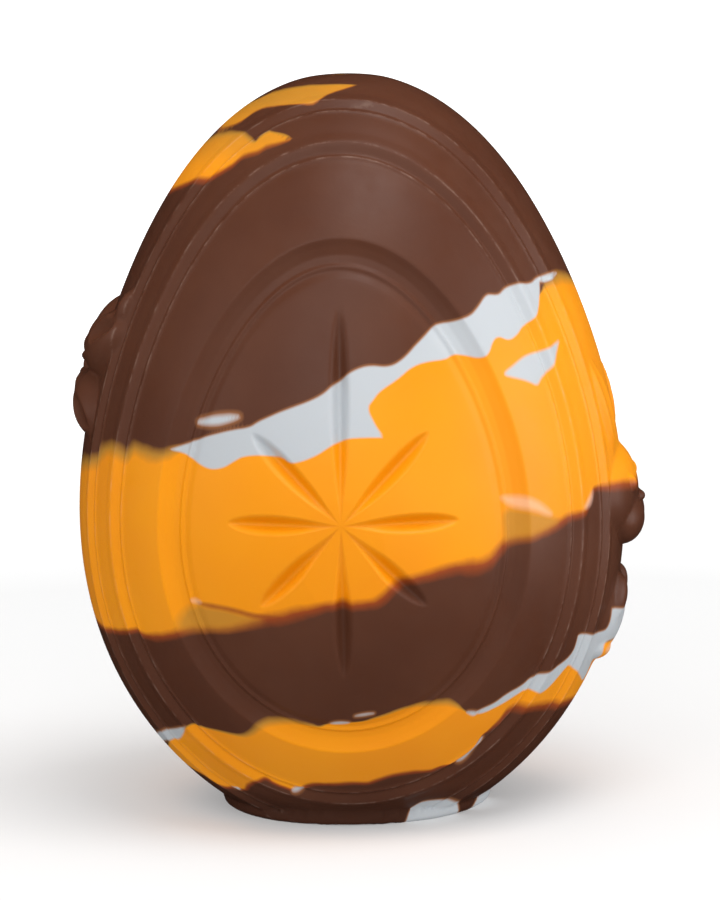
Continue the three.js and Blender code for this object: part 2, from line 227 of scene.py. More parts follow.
LOWER_SWOOSH_BOTTOM = [
    (-140, 128, 1.7), (-120, 126, 1.7), (-98, 126, 1.4), (-83, 127, 1.3), (-72, 128.6, 1.1),
    (-63.5, 130.1, 1.1), (-57.5, 130.9, 1.1), (-52, 132.4, 1.1), (-47.3, 134.1, 1.1), (-43.6, 136, 1.1),
    (-37.4, 136.9, 1.1), (-34, 138, 1.0), (-28, 138.8, 0.8), (-23, 139.6, 0.6), (-10, 141, 0.6),
    (60, 148, 0.7), (180, 148, 1.4),
]
ORANGE_BANDS = [
    (ORANGE_TOP, ORANGE_BOTTOM), (LOWER_ORANGE_TOP, LOWER_ORANGE_BOTTOM),
    (UPPER_SWOOSH_TOP, UPPER_SWOOSH_BOTTOM), (LOWER_SWOOSH_TOP, LOWER_SWOOSH_BOTTOM),
]

# Closed patches, as (softness, [(azimuth, height) of each corner]). A corner given twice
# stays sharper when the outline is smoothed.
WHITE_PATCHES = [
    (SHARP, [
        (-40.2, 79.9), (-39.9, 80.2), (-36.9, 81.5), (-31.8, 83.1), (-25.2, 84.8), (-20.5, 85.5),
        (-18.7, 86.6), (-16.8, 87.4), (-11.6, 89.4), (-7.2, 90.7), (-3.5, 92.3), (-1.3, 94.2), (1.3, 95.7),
        (4, 97), (7.1, 97.7), (10.9, 97.2), (13.3, 97.6), (16.2, 99.1), (18.8, 101.1), (22.8, 103.6),
        (25.4, 105.1), (30.8, 105), (34.2, 105.6), (37, 107), (41, 109.4), (43.8, 108.9), (45.9, 109),
        (48.2, 110), (51.7, 110.3), (58.2, 109.7), (62.1, 110.6), (66.8, 110.6), (74, 110.5), (74, 110.2),
        (71, 109.8), (67.3, 109.3), (64.5, 109.5), (62.4, 109.9), (62.2, 109), (59.6, 106.8), (57.6, 104.9),
        (54.4, 103.2), (50.1, 102.3), (48, 101.1), (44.1, 100), (41.5, 101.2), (39.1, 100.6), (37, 98),
        (34.9, 97.4), (31.3, 98.7), (28.4, 99), (26, 98), (20.4, 97.9), (16.9, 96.9), (13.8, 94.9),
        (9.1, 92.7), (7.5, 90.9), (6.1, 89.6), (7.6, 86.4), (9.6, 83.7), (9.6, 83.7), (5, 83.8), (1.5, 83.7),
        (-0.6, 83), (-2.8, 81.8), (-4.9, 80.5), (-8.4, 79.2), (-10.9, 78.8), (-12.7, 80), (-15.7, 80.3),
        (-21.3, 80.1), (-23.9, 78.7), (-26.2, 77.4), (-29.4, 76.8), (-32.9, 77.8), (-37.2, 79.6),
    ]),
    (0.5, [(-35.5, 85.8), (-31, 87.2), (-26, 87.9), (-22.5, 87.7), (-26, 86.3), (-30, 85.5)]),
    (0.4, [
        (39.4, 93.8), (44.2, 95.5), (49.5, 97), (55.8, 97), (62.4, 98.2), (62.2, 98), (58.3, 95.1),
        (56.1, 93.4), (52.3, 92.1), (50.3, 90.5), (47.4, 91.8), (43.3, 92.9),
    ]),
    (SHARP, [
        (32.4, 25.4), (33.6, 25.8), (38.3, 26.8), (40.9, 28.3), (45.9, 29.5), (47.9, 30.9), (51.8, 31.5),
        (55.5, 32.3), (60.4, 33.5), (62.3, 35.2), (62.1, 38), (62.1, 38), (63, 38.2), (68.7, 37.2),
        (75, 36.8), (77, 37.5), (77.6, 41.3), (77.6, 41.3), (87, 41.1), (99, 40.6), (108, 38), (121, 34),
        (121, 34),
        (110, 34), (97, 34.8), (86.1, 34.4), (77, 34.9), (78.6, 30), (80, 26), (76, 26.4), (67.1, 29.8),
        (62.2, 31.9), (61.1, 31.7), (58.3, 29.8), (55.4, 27.7), (53, 27.2), (51, 27.9), (47.7, 28.6),
        (45.8, 27.9), (42.2, 26.7), (39.3, 25.8), (34.7, 24.8),
    ]),
    (SHARP, [
        (126, 98), (140, 101), (152, 100), (166, 95.5), (178, 92), (190, 89.5), (204, 88), (216, 84),
        (202, 85), (190, 86), (179, 86.5), (170, 90), (158, 93), (146, 94.5), (136, 96),
    ]),
    (SHARP, [
        (20, -3), (21.7, -0.8), (24.1, 2.1), (26.8, 3.9), (29, 4.5), (36.1, 4.2), (46.4, 3.6), (47, 3.5),
        (51, 1.8), (54, 0.2), (55, -3),
    ]),
    (SHARP, [(55, -3), (58, 0), (64, 2.4), (73, 3.6), (84, 3), (90, 0), (92, -3)]),
    (SHARP, [
        (-82, 14.6), (-76.6, 15.8), (-61.7, 18.9), (-55.5, 19.6), (-47, 21.6), (-47, 21.6), (-50.7, 19.4),
        (-55.6, 17.3), (-60.7, 17.1), (-76.2, 14.3),
    ]),
    (SHARP, [(-48.5, 7.1), (-46, 7.3), (-43, 7.1), (-45.5, 6.6)]),
    (0.3, [(-4.9, 23.6), (-2.6, 24.5), (1.2, 24.2), (-0.4, 23.7)]),
    (0.3, [(1.4, 25.7), (4.5, 26.4), (7.5, 26.4), (4.2, 25.8)]),
    (0.3, [(-21, 8.2), (-18, 8.7), (-15.2, 8.8), (-18.4, 7.9)]),
    (0.3, [(29.8, 26.1), (32, 25.9), (34, 25.2), (32.6, 24.6), (31, 25.3)]),
    (0.3, [(33, 13.6), (35.6, 14.9), (37.6, 16.9), (38.7, 19.4), (38.7, 17.9), (36.6, 14.9), (34.6, 13.6)]),
    (SHARP, [(188, 24.5), (196, 27), (208, 27.4), (214, 25.4), (204, 24.6)]),
]
PALE_PATCHES = [
    (0.7, [
        (35.9, 70.3), (39.5, 70.1), (43.4, 68.9), (47, 66.8), (49.3, 64.9), (46.9, 65.3), (43.2, 66.7),
        (39.8, 67.6), (37.3, 68.6),
    ]),
    (0.5, [(58.6, 64.8), (61.4, 66.4), (64.6, 68.3), (63.8, 65.8), (61.6, 64.4)]),
    (0.4, [(77.9, 33), (82, 34.2), (86.6, 34.1), (84.4, 32.8), (81, 31.8)]),
    (0.5, [(-35.9, 49.5), (-34.3, 50.1), (-32, 49.6), (-33.8, 48.9)]),
]
SCUFFS = [(0.6, [(4, 145.3), (15, 145.8), (24, 145.6), (26, 144.8), (16, 144.6), (5, 144.8)])]
FADED_PATCHES = [
    (4.0, [(-130, 139), (-130, 152), (30, 152), (30, 143), (-60, 141.5)]),
    (4.0, [(-150, 134), (-150, 141), (-15, 142), (-15, 139.5), (-60, 136.5)]),
    (1.0, [
        (-39, 44), (-37.8, 47), (-35.3, 48.6), (-30.4, 48.8), (-26.8, 48.7), (-23.2, 48.3), (-18, 47.4),
        (-16.9, 46.4), (-19.9, 45), (-26.2, 43), (-31.4, 42.2), (-36.1, 42),
    ]),
    (0.9, [
        (36.2, 67.8), (41.9, 66.7), (46, 65.5), (51.8, 63.6), (48.2, 62), (44.4, 61), (40.2, 60.2),
        (37.9, 60), (36.4, 61),
    ]),
]
BROWN_STREAKS = [
    (0.45, [
        (-34.2, 49.3), (-30.5, 49.5), (-26.8, 49.3), (-23.2, 49), (-19.8, 48.3), (-13.5, 47.9),
        (-15.8, 47.2), (-19.9, 47.3), (-23.2, 48), (-26.8, 48.5), (-30.6, 48.6),
    ]),
]
PATCH_REACH = 4.0

# Camera, fitted to the egg's outline in a frame of 720 by 900 pixels
CAMERA_DISTANCE = 1.4
CAMERA_AZIMUTH = 2.3
CAMERA_ELEVATION = 9.3
CAMERA_ROLL = 1.1
CAMERA_LENS = 274.3
CAMERA_SENSOR = 36.0
CAMERA_TARGET = (0.0, 0.0, 0.075)
CAMERA_SHIFT = (0.0106, -0.0131)
CAMERA_CLIP = (0.05, 50)

# Studio: the floor glows more further out, so that the shadow fades into plain white
FLOOR_RADIUS = 6.0
FLOOR_SIDES = 96
FLOOR_GLOW = 0.22
FAR_FLOOR_GLOW = 1.0
GLOW_RADII = (0.25, 0.7)
FLOOR_WHITE = 0.6
BACKDROP_HEIGHT = 6.0
BACKDROP_SINK = 0.01
BACKDROP_GLOW = 1.0
WORLD_LIGHT = 0.72

# Softboxes: name, place and size in metres, power in watts
SOFTBOXES = [
    ("top_softbox", (0.3, -0.35, 1.25), (0.8, 0.6), 8),
    ("right_softbox", (1.4, -0.1, 0.25), (1.0, 1.0), 9.5),
    ("left_softbox", (-1.3, -0.5, 0.5), (0.8, 0.9), 2.5),
    ("front_softbox", (-0.2, -1.3, 0.9), (1.2, 0.8), 7.5),
    ("low_softbox", (0.8, -1.1, 0.16), (0.9, 0.3), 2.2),
]


def linear(red, green, blue):
    """A colour from its 0 to 255 screen values."""
    shares = (value / 255 for value in (red, green, blue))
    return tuple(s / 12.92 if s <= 0.04045 else ((s + 0.055) / 1.055) ** 2.4 for s in shares) + (1.0,)


# Colours of the layers, and how much of each shows
BROWN = linear(88, 50, 33)
DARK_BROWN = linear(82, 45, 29)
# Painted shade: the brown darkens towards the foot, standing in for the shade and contact shadow there
PAINTED_FOOT_SHADE_BROWN = linear(52, 27, 17)
PAINTED_FOOT_SHADE_SHARE = 0.6
PAINTED_FOOT_SHADE_HEIGHTS = (8, 3)
ORANGE = linear(233, 145, 0)
DEEP_ORANGE = linear(228, 137, 0)
WHITE = linear(177, 181, 185)
RUST = linear(142, 62, 20)
STREAK_SHARE = 0.8
OLIVE_GOLD = linear(176, 122, 38)
FADED_SHARE = 0.8
FRINGE = linear(168, 108, 62)
FRINGE_REACH = 2.6
FRINGE_SHARE = 0.75
PALE = linear(226, 196, 178)
PALE_SHARE = 0.4
# Pale on crests and beads: rubbed colour, partly a painted highlight along the edges
WEAR_AND_HIGHLIGHT_SHARE = 0.2
WEAR_AND_HIGHLIGHT_FALL_OFF = 3.0

# Noises, as (scale, detail, roughness), and the part of their range that is used
EDGE_NOISE = (200, 3, 0.5)
EDGE_RAGGEDNESS = 0.15
BROWN_CLOUDS = (45, 3, 0.5)
ORANGE_CLOUDS = (30, 2, 0.5)
CLOUD_RANGE = (0.35, 0.65)
# The next two break up the pale crests and beads, which are partly a painted highlight
WEAR_AND_HIGHLIGHT_NOISE = (300, 4, 0.7)
WEAR_AND_HIGHLIGHT_RANGE = (0.45, 0.7)
SHEEN_NOISE = (220, 4, 0.6)
GRAIN_NOISE = (900, 4, 0.6)
NOISE_RANGE = (0.3, 0.7)

# Surface of the chocolate
ROUGHNESS_RANGE = (0.38, 0.5)
GRAIN_STRENGTH = 0.25
GRAIN_HEIGHT = 0.0001
SUBSURFACE_WEIGHT = 0.06
SUBSURFACE_RADIUS = (1.0, 0.5, 0.3)
SUBSURFACE_SCALE = 0.0015
REFRACTION = 1.45
SPECULAR_LEVEL = 0.25


def egg_radius(height):
    """Radius of the plain egg at a height, zero beyond its tips."""
    across = 2 * (height + LOWER_TIP_DEPTH) / (HEIGHT + LOWER_TIP_DEPTH) - 1
    across = np.clip(across, -1, 1)
    shape = 1 - OUTLINE_TAPER * across - OUTLINE_SQUARENESS * across**2 + OUTLINE_POINT * across**3
    return WIDEST_RADIUS * np.sqrt(1 - across**2) * shape


def egg_normal(points):
    """Outward directions of the plain egg at its points."""
    step = 0.01
    height = points[..., 2]
    slope = (egg_radius(height + step) ** 2 - egg_radius(height - step) ** 2) / (4 * step)
    normal = np.stack([points[..., 0], points[..., 1], -slope], axis=-1)
    return normal / np.linalg.norm(normal, axis=-1, keepdims=True)


def front_points(angle, slice_depth, lean):
    """Points of the plain egg's front, seen from the star in a direction, on leaning slices."""
    angle, slice_depth, lean = np.broadcast_arrays(angle, slice_depth, lean)
    near = np.zeros(angle.shape)
    far = np.full(angle.shape, HEIGHT)
    for _ in range(BISECTION_STEPS):
        reach = (near + far) / 2
        rise = reach * np.sin(angle)
        wanted = np.maximum(0, slice_depth - lean * rise)
        room = egg_radius(STAR_HEIGHT + rise) ** 2 - (reach * np.cos(angle)) ** 2 - wanted**2
        near = np.where(room > 0, reach, near)
        far = np.where(room > 0, far, reach)
    x = near * np.cos(angle)
    z = STAR_HEIGHT + near * np.sin(angle)
    y = -np.sqrt(np.maximum(0, egg_radius(z) ** 2 - x**2))
    return np.stack([x, y, z], axis=-1)


def column_angles():
    """Directions of the mesh columns, closer together where the shape is finer."""
    fine = np.linspace(-180, 180, 3601)
    weight = np.ones(fine.shape)
    for direction, half_width, extra in CLOSER_COLUMNS:
        away = (fine - direction + 180) % 360 - 180
        weight += extra * np.exp(-((away / half_width) ** 4))
    total = np.concatenate([[0], np.cumsum((weight[1:] + weight[:-1]) / 2)])
    wanted = np.arange(COLUMNS) / COLUMNS * total[-1]
    return np.radians(np.interp(wanted, total, fine))


def plain_rows(stretch):
    """Rows of the section that lie on their own slices."""
    return [(ridge, 0.0, level, rings) for ridge, level, rings in stretch]


def section_rows():
    """The panel's section from the egg's side to the star: (ridge, inwards, level, rings)."""
    rows = plain_rows(SIDE_STRETCH)
    for ridge, levels in ((OUTER_RIDGE, OUTER_LEVELS), (MIDDLE_RIDGE, MIDDLE_LEVELS)):
        rows += [(ridge, inwards, levels[name], rings) for inwards, name, rings in STEPPED_SECTION]
    rows += plain_rows(HOLLOW_STRETCH)
    rows += [(INNER_RIDGE, inwards, level, rings) for inwards, level, rings in INNER_SECTION]
    rows += plain_rows(PANEL_MIDDLE)
    rows.append((LAST_SLICE, 0.0, PANEL_CROWN, 0))
    return rows


def rubbed_and_highlit_rows():
    """Numbers of the section's rows that are crests and beads, painted pale: rubbed colour and partly a
    painted highlight along the edges.
    """
    names = [name for _, name, _ in STEPPED_SECTION]
    worn_and_highlit = [row for row, name in enumerate(names) if name in ("crest", "bead")]
    first_rows = (len(SIDE_STRETCH), len(SIDE_STRETCH) + len(names))
    return [first + row for first in first_rows for row in worn_and_highlit]


def panel_rings(angles):
    """Slice depth, lean, level and edge wear with painted edge highlight of every mesh ring, the depth in
    every direction.
    """
    depths, leans, distances, levels, counts = [], [], [], [], []
    for (slice_depth, lean), inwards, level, rings in section_rows():
        crest = front_points(angles, slice_depth, lean)
        facing = egg_normal(crest)[:, 1]
        depths.append(slice_depth + inwards * np.sqrt(1 - facing**2))
        leans.append(lean)
        side_facing = math.sqrt(1 - (slice_depth / WIDEST_RADIUS) ** 2)
        side_depth = min(slice_depth + inwards * side_facing, WIDEST_RADIUS)
        distances.append(WIDEST_RADIUS * math.asin(side_depth / WIDEST_RADIUS))
        levels.append(level)
        counts.append(rings)
    place = [row + step / rings for row, rings in enumerate(counts[:-1]) for step in range(rings)]
    place.append(len(counts) - 1)
    place = np.array(place)
    row_numbers = np.arange(len(counts))
    depths = np.array(depths)
    ring_depths = np.stack([np.interp(place, row_numbers, depths[:, c]) for c in range(len(angles))], axis=1)
    ring_leans = np.interp(place, row_numbers, leans)[:, None]
    ring_distances = np.interp(place, row_numbers, distances)
    ring_wear_and_highlight = np.interp(place, row_numbers, [1.0 if row in rubbed_and_highlit_rows() else 0.0 for row in row_numbers])
    return ring_depths, ring_leans, rounded_levels(ring_distances, distances, levels), ring_wear_and_highlight


def rounded_levels(at, distances, levels):
    """The section's levels with every corner rounded, as in a mould."""
    weights = np.exp(-(ROUNDING_OFFSETS**2) / 2)
    total = np.zeros(len(at))
    for offset, weight in zip(ROUNDING_OFFSETS, weights / weights.sum()):
        total += weight * np.interp(at + offset * EDGE_ROUNDING, distances, levels)
    return total


def petal_depth(points):
    """How deep the star is engraved at each point of the panel."""
    depth = np.zeros(points.shape[:-1])
    x = points[..., 0]
    rise = points[..., 2] - STAR_HEIGHT
    for direction, length in PETALS:
        turn = math.radians(direction)
        along = x * math.cos(turn) + rise * math.sin(turn)
        across = rise * math.cos(turn) - x * math.sin(turn)
        share = np.clip((along - PETAL_START) / (length - PETAL_START), 0, 1)
        swell = np.sin(np.pi * share**PETAL_LEAN)
        aside = np.clip(across / np.maximum(PETAL_HALF_WIDTH * swell**PETAL_FULLNESS, 1e-6), -1, 1)
        groove = PETAL_DEPTH * swell**PETAL_DEEPENING * (0.5 + 0.5 * np.cos(np.pi * aside))
        depth = np.maximum(depth, np.where(along > PETAL_START, groove, 0))
    return depth


def smooth_max(first, second, blend):
    """The larger of two levels, with the corner between them filled."""
    close = np.maximum(blend - np.abs(first - second), 0) / blend
    return np.maximum(first, second) + close**2 * blend / 4


def lobe_level(points, normals, azimuth, height, along, around, rise, turn=0, thickness=LOBE_THICKNESS):
    """Level at which each point's normal leaves one relief lobe, far down where it misses."""
    heading = math.radians(azimuth)
    radius = float(egg_radius(np.array(height)))
    place = np.array([radius * math.sin(heading), -radius * math.cos(heading), height])
    out = egg_normal(place)
    around_axis = np.array([math.cos(heading), math.sin(heading), 0])
    up_axis = np.cross(out, around_axis)
    spin = math.radians(turn)
    axes = np.stack([
        math.cos(spin) * around_axis + math.sin(spin) * up_axis,
        math.cos(spin) * up_axis - math.sin(spin) * around_axis,
        out,
    ])
    size = np.array([around, along, thickness])
    centre = place + out * (rise - thickness)
    start = (points - centre) @ axes.T / size
    heading_in = normals @ axes.T / size
    a = (heading_in**2).sum(-1)
    b = (start * heading_in).sum(-1)
    c = (start**2).sum(-1) - 1
    inside = b**2 - a * c
    level = (-b + np.sqrt(np.maximum(inside, 0))) / a
    return np.where(inside > 0, level, FAR_BELOW)


def placed(azimuth, middle, pairs):
    """Shapes round the middle of a relief, each pair mirrored, with their azimuths worked out."""
    shapes = [{"aside": 0, "turn": 0, **shape} for shape in middle + pairs]
    mirrored = [
        {**shape, "aside": -shape["aside"], "turn": -shape["turn"]} for shape in shapes[len(middle):]
    ]
    found = []
    for shape in shapes + mirrored:
        aside = shape.pop("aside")
        radius = float(egg_radius(np.array(shape["height"])))
        found.append({**shape, "azimuth": azimuth + math.degrees(aside / radius)})
    return found


def hollow_depth(points, azimuth, height, along, around, depth, turn):
    """Depth of one hollow with soft sides that is pressed into a relief."""
    radius = float(egg_radius(np.array(height)))
    aside = np.arctan2(points[:, 0], -points[:, 1]) - math.radians(azimuth)
    aside = radius * ((aside + np.pi) % (2 * np.pi) - np.pi)
    rise = points[:, 2] - height
    lean = math.radians(turn)
    across = (aside * math.cos(lean) + rise * math.sin(lean)) / around
    onward = (rise * math.cos(lean) - aside * math.sin(lean)) / along
    return depth * np.maximum(0, 1 - across**2 - onward**2)


def foot_level(points, normals, level):
    """Levels with the foot joined on and everything below its underside cut off."""
    found = np.full(len(points), FAR_BELOW)
    for step in FOOT_SEARCH:
        at = points + normals * step
        flat = np.hypot(at[:, 0], at[:, 1])
        inner = FOOT_RADIUS - FOOT_EDGE_RADIUS
        corner = np.hypot(np.maximum(flat - inner, 0), np.maximum(FOOT_EDGE_RADIUS - at[:, 2], 0))
        away = np.where(at[:, 2] < FOOT_EDGE_RADIUS, corner - FOOT_EDGE_RADIUS, flat - FOOT_RADIUS)
        away = np.maximum(away, at[:, 2] - FOOT_RIM_HEIGHT)
        found = np.where(away <= 0, step, found)
    level = smooth_max(level, found, FOOT_FILLET)
    falls = normals[:, 2] < -LEAST_FALL
    ground = np.where(falls, -points[:, 2] / np.minimum(normals[:, 2], -LEAST_FALL), FAR_ABOVE)
    return np.minimum(level, ground)


def egg_surface():
    """Points of the plain egg, its normals, levels, edge wear with painted edge highlight and the mesh
    faces.
    """
    angles = column_angles()
    depths, leans, ring_levels, ring_wear_and_highlight = panel_rings(angles)
    front = front_points(angles[None, :], depths, leans)
    level = np.broadcast_to(ring_levels[:, None], depths.shape) - petal_depth(front)
    rings, columns = depths.shape
    top = np.array([[0.0, -float(egg_radius(np.array(STAR_HEIGHT))), STAR_HEIGHT]])
    front = np.concatenate([front.reshape(-1, 3), top])
    level = np.append(level.ravel(), PANEL_CROWN)
    wear_and_highlight = np.append(np.repeat(ring_wear_and_highlight, columns), 0.0)
    mirrored = front * [1, -1, 1]
    count = len(front)
    points = np.concatenate([front, mirrored[columns:]])
    levels = np.concatenate([level, level[columns:]])
    wear_and_highlight = np.concatenate([wear_and_highlight, wear_and_highlight[columns:]])
    number = np.arange(rings * columns).reshape(rings, columns)
    following = np.roll(number, -1, axis=1)
    quads = np.stack([number[:-1], following[:-1], following[1:], number[1:]], axis=-1).reshape(-1, 4)
    tops = np.stack([number[-1], following[-1], np.full(columns, rings * columns)], axis=-1)
    back_number = np.where(np.arange(count) < columns, np.arange(count), np.arange(count) + count - columns)
    faces = quads.tolist() + tops.tolist()
    faces += back_number[quads[:, ::-1]].tolist() + back_number[tops[:, ::-1]].tolist()
    return points, egg_normal(points), levels, wear_and_highlight, faces


def finished_levels(points, normals, levels):
    """Adds the side reliefs and the foot to the levels."""
    relief = np.full(len(points), FAR_BELOW)
    sides = np.abs(points[:, 0]) > RELIEF_ZONE
    lobes = placed(BOW_AZIMUTH, BOW_MIDDLE, BOW_PAIRS) + placed(RABBIT_AZIMUTH, RABBIT_MIDDLE, RABBIT_PAIRS)
    for shape in lobes:
        found = lobe_level(points[sides], normals[sides], **shape)
        same_side = np.sign(points[sides, 0]) == np.sign(shape["azimuth"])
        found = np.where(same_side, found, FAR_BELOW)
        relief[sides] = smooth_max(relief[sides], found, LOBE_BLEND)
    levels = smooth_max(levels, relief, RELIEF_ROOT_BLEND)
    for shape in placed(BOW_AZIMUTH, [], BOW_HOLLOWS) + placed(RABBIT_AZIMUTH, [], RABBIT_HOLLOWS):
        levels -= hollow_depth(points, **shape)
    levels -= TIP_TRIM * np.exp(-((points[:, 2] - HEIGHT) / TIP_TRIM_REACH) ** 2)
    low = points[:, 2] < FOOT_ZONE
    levels[low] = foot_level(points[low], normals[low], levels[low])
    return levels


def edge_curve(edge, azimuth):
    """Height and softness of an edge at each azimuth, on a smooth curve right round the egg."""
    corners = np.concatenate([np.array(edge) + [shift, 0, 0] for shift in (-360, 0, 360)])
    places, values = corners[:, 0], corners[:, 1:]
    widths = np.diff(places)[:, None]
    secants = np.diff(values, axis=0) / widths
    before, after = secants[:-1], secants[1:]
    keeps_on = before * after > 0
    slopes = np.where(keeps_on, 2 * before * after / np.where(keeps_on, before + after, 1), 0)
    slopes = np.concatenate([secants[:1], slopes, secants[-1:]])
    index = np.clip(np.searchsorted(places, azimuth) - 1, 0, len(widths) - 1)
    width = widths[index]
    share = (azimuth - places[index])[:, None] / width
    rest = 1 - share
    return (
        (1 + 2 * share) * rest**2 * values[index] + share * rest**2 * width * slopes[index]
        + share**2 * (1 + 2 * rest) * values[index + 1] - share**2 * rest * width * slopes[index + 1]
    ).T


def edge_reach(edge, azimuth, height, steepness, side):
    """Distance to an edge over its softness, positive below a top edge or above a bottom one."""
    step = 0.5
    at, softness = edge_curve(edge, azimuth)
    climb = edge_curve(edge, azimuth + step)[0] - edge_curve(edge, azimuth - step)[0]
    slope = climb / math.radians(2 * step)
    radius = np.maximum(egg_radius(height), 1.0)
    return side * (at - height) / np.hypot(steepness, slope / radius) / softness


def band_edges(points, normals):
    """Reach inside the nearest orange band, and whether its top (0) or bottom (1) edge is nearer."""
    azimuth = np.degrees(np.arctan2(points[:, 0], -points[:, 1]))
    steepness = np.sqrt(np.maximum(1 - normals[:, 2] ** 2, 1e-4))
    top = np.full(len(points), FAR_BELOW)
    bottom = np.full(len(points), FAR_BELOW)
    for top_edge, bottom_edge in ORANGE_BANDS:
        below = edge_reach(top_edge, azimuth, points[:, 2], steepness, 1)
        above = edge_reach(bottom_edge, azimuth, points[:, 2], steepness, -1)
        nearer = np.minimum(below, above) > np.minimum(top, bottom)
        top = np.where(nearer, below, top)
        bottom = np.where(nearer, above, bottom)
    return np.minimum(top, bottom), np.where(bottom < top, 1.0, 0.0)


def smoothed(outline):
    """A closed outline with its corners cut twice."""
    for _ in range(2):
        following = np.roll(outline, -1, axis=0)
        outline = np.stack([0.75 * outline + 0.25 * following, 0.25 * outline + 0.75 * following], axis=1)
        outline = outline.reshape(-1, 2)
    return outline


def outline_distance(points, outline):
    """Distance inside a closed outline, negative outside."""
    best = np.full(len(points), 1e9)
    inside = np.zeros(len(points), bool)
    for start, end in zip(outline, np.roll(outline, -1, axis=0)):
        edge = end - start
        share = np.clip(((points - start) @ edge) / max(edge @ edge, 1e-9), 0, 1)
        best = np.minimum(best, ((points - start - share[:, None] * edge) ** 2).sum(axis=1))
        crosses = (start[1] > points[:, 1]) != (end[1] > points[:, 1])
        rise = edge[1] if abs(edge[1]) > 1e-9 else 1e-9
        at = start[0] + (points[:, 1] - start[1]) / rise * edge[0]
        inside ^= crosses & (points[:, 0] < at)
    return np.where(inside, 1, -1) * np.sqrt(best)


def patch_reach(points, patches):
    """Distance inside the nearest closed patch over its softness, on the unrolled egg."""
    around = np.arctan2(points[:, 0], -points[:, 1]) * UNROLL_RADIUS
    reach = np.full(len(points), FAR_BELOW)
    for softness, corners in patches:
        outline = np.array(corners, float)
        outline[:, 0] = np.radians(outline[:, 0]) * UNROLL_RADIUS
        outline = smoothed(outline)
        lowest, highest = outline.min(axis=0) - PATCH_REACH, outline.max(axis=0) + PATCH_REACH
        for shift in (0, 2 * math.pi * UNROLL_RADIUS):
            place = np.stack([around + shift, points[:, 2]], axis=-1)
            near = np.flatnonzero(np.all((place > lowest) & (place < highest), axis=1))
            if len(near):
                found = outline_distance(place[near], outline) / softness
                reach[near] = np.maximum(reach[near], found)
    return reach


def add_attribute(mesh, name, values):
    attribute = mesh.attributes.new(name, "FLOAT", "POINT")
    attribute.data.foreach_set("value", values.astype(np.float32))


def make_egg():
    points, normals, levels, wear_and_highlight, faces = egg_surface()
    levels = finished_levels(points, normals, levels)
    mesh = bpy.data.meshes.new("chocolate_egg")
    mesh.from_pydata(((points + normals * levels[:, None]) * MM * FIT_IN_CAD).tolist(), [], faces)
    mesh.shade_smooth()
    band, low_edge = band_edges(points, normals)
    # Pale crests and beads, partly a painted highlight, joined with the scuffs on the crown
    wear_and_highlight = np.maximum(wear_and_highlight, np.clip(patch_reach(points, SCUFFS) / 2 + 0.5, 0, 1))
    for name, values in (
        ("band", band), ("low_edge", low_edge), ("wear_and_highlight", wear_and_highlight), ("height", points[:, 2]),
        ("white", patch_reach(points, WHITE_PATCHES)), ("pale", patch_reach(points, PALE_PATCHES)),
        ("faded", patch_reach(points, FADED_PATCHES)), ("streak", patch_reach(points, BROWN_STREAKS)),
    ):
        add_attribute(mesh, name, values)
    egg = bpy.data.objects.new("chocolate_egg", mesh)
    bpy.context.scene.collection.objects.link(egg)
    return egg


class Nodes:
    """Short helpers to build one material's node tree."""

    def __init__(self, name):
        self.material = bpy.data.materials.new(name)
        self.material.use_nodes = True
        self.tree = self.material.node_tree
        self.shader = self.tree.nodes["Principled BSDF"]

    def link(self, source, target):
        self.tree.links.new(source, target)

    def put(self, target, value):
        if isinstance(value, bpy.types.NodeSocket):
            self.link(value, target)
        else:
            target.default_value = value

    def add(self, kind, **settings):
        node = self.tree.nodes.new(kind)
        for key, value in settings.items():
            setattr(node, key, value)
        return node

    def math(self, operation, first, second):
        node = self.add("ShaderNodeMath", operation=operation)
        self.put(node.inputs[0], first)
        self.put(node.inputs[1], second)
        return node.outputs[0]

    def attribute(self, name):
        return self.add("ShaderNodeAttribute", attribute_name=name).outputs["Fac"]

    def noise(self, scale, detail, roughness):
        place = self.add("ShaderNodeTexCoord").outputs["Object"]
        node = self.add("ShaderNodeTexNoise")
        self.link(place, node.inputs["Vector"])
        node.inputs["Scale"].default_value = scale
        node.inputs["Detail"].default_value = detail
        node.inputs["Roughness"].default_value = roughness
        return node.outputs["Fac"]

    def mix(self, share, first, second):
        node = self.add("ShaderNodeMix", data_type="RGBA")
        self.put(node.inputs["Factor"], share)
        self.put(node.inputs[6], first)
        self.put(node.inputs[7], second)
        return node.outputs[2]

    def spread(self, value, low, high, new_low, new_high):
        node = self.add("ShaderNodeMapRange")
        self.put(node.inputs["Value"], value)
        ends = {"From Min": low, "From Max": high, "To Min": new_low, "To Max": new_high}
        for name, number in ends.items():
            node.inputs[name].default_value = number
        return node.outputs["Result"]


def share_inside(nodes, name, ragged):
    """How far a point is past a layer's edge, from 0 outside to 1 inside."""
    reach = nodes.math("ADD", nodes.attribute(name), ragged)
    return nodes.spread(reach, -1, 1, 0, 1)


def faded_edge(nodes, share, outside, middle, inside):
    """Colour across a layer's edge that passes through a middle colour."""
    outer = nodes.mix(nodes.spread(share, 0, 0.5, 0, 1), outside, middle)
    return nodes.mix(nodes.spread(share, 0.5, 1, 0, 1), outer, inside)


